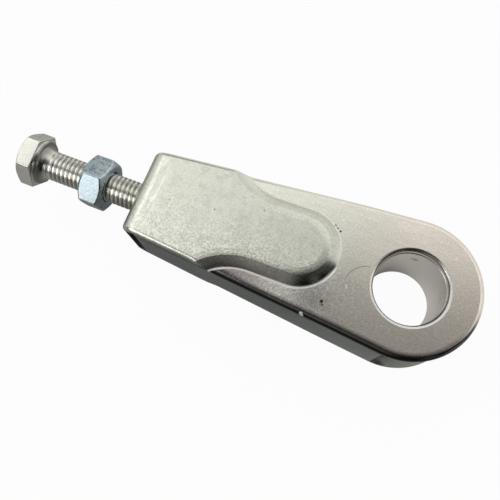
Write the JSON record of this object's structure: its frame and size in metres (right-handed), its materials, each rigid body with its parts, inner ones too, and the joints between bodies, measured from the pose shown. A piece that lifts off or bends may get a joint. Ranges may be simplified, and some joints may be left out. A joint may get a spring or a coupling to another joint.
{
  "type": "motorcycle chain adjuster",
  "caption": "Chain adjuster: a plated sheet body folded in a U with embossed legs and a bushed axle eye, drawn along by a hex bolt with a lock nut.",
  "frame": {"origin": "centre of the axle eye, halfway between the two legs", "axes": "+Z along the axle's axis towards the plain leg, +X along the adjusting bolt from its head towards the eye"},
  "size_m": [0.1232, 0.034, 0.027],
  "materials": {
    "plated_sheet": "satin bright plating with a fine pebbled grain",
    "turned_steel": "turned, faint rings",
    "plated_nut": "satin plating",
    "plated_bolt": "bright plating on a rolled thread",
    "zinc_nut": "bluish zinc plating"
  },
  "bodies": {
    "body": {"folded_body": "plated_sheet", "axle_bush": "turned_steel", "weld_nut": "plated_nut"},
    "nut": {"lock_nut": "zinc_nut"},
    "bolt": {"adjusting_bolt": "plated_bolt"}
  },
  "joints": [
    {"name": "bolt_travel", "type": "slide", "parent": "body", "child": "nut", "axis": [1, 0, 0], "range_m": [-0.01105, 0.00955]},
    {"name": "bolt_turn", "type": "hinge", "parent": "nut", "child": "bolt", "pos_m": [-0.0709, 0, 0], "axis": [1, 0, 0], "range_deg": [-3168, 2736]}
  ],
  "couplings": [
    {"joint": "bolt_travel", "follows": "bolt_turn", "m_per_rad": 0.00019894}
  ]
}
